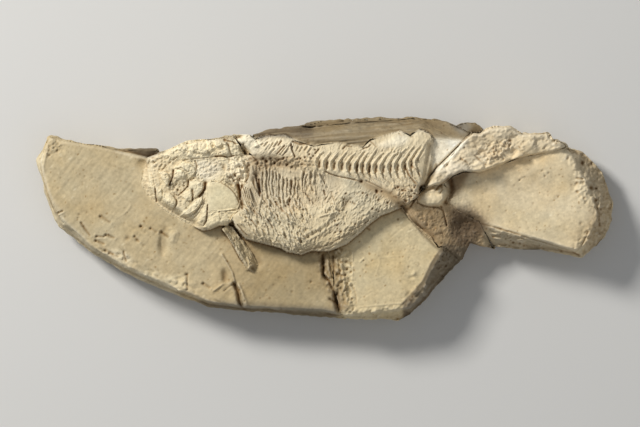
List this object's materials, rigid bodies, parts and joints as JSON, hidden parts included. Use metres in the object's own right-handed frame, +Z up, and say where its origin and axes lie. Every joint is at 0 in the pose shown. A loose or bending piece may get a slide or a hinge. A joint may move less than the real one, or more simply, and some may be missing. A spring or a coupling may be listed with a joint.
{
  "type": "fossil fish skeleton",
  "caption": "Head, ribs and backbone of a fossil fish standing in relief on broken slabs of pale limestone cemented together.",
  "frame": {"origin": "on the floor under the middle of the specimen's bounding box", "axes": "+X from the snout to the rear of the fish, +Y from its belly to its back, +Z up out of the stone face that carries the fossil"},
  "size_m": [0.2022, 0.071, 0.0258],
  "materials": {
    "limestone": "matte",
    "weathered_limestone": "matte, rough",
    "mortar": "matte, grainy",
    "fossil_bone": "matte"
  },
  "bodies": {
    "root": {"stone_left": "limestone", "stone_lower": "limestone", "stone_back": "weathered_limestone", "stone_upper_right": "limestone", "stone_right": "limestone", "mortar_joint": "mortar", "stone_knob": "limestone", "skull": "fossil_bone", "skull_roof": "fossil_bone", "braincase": "fossil_bone", "snout_blade": "fossil_bone", "supraorbital": "fossil_bone", "sclerotic": "fossil_bone", "lacrimal": "fossil_bone", "postorbital": "fossil_bone", "suborbital": "fossil_bone", "maxilla": "fossil_bone", "dentary": "fossil_bone", "preopercle": "fossil_bone", "branchiostegal_rays": "fossil_bone", "interopercle": "fossil_bone", "opercle": "fossil_bone", "subopercle": "fossil_bone", "front_spines": "fossil_bone", "vertebral_column": "fossil_bone", "rib_cage_left": "fossil_bone", "belly_scales": "fossil_bone", "cleithrum": "fossil_bone", "pectoral_fin_bone": "fossil_bone"}
  },
  "joints": []
}
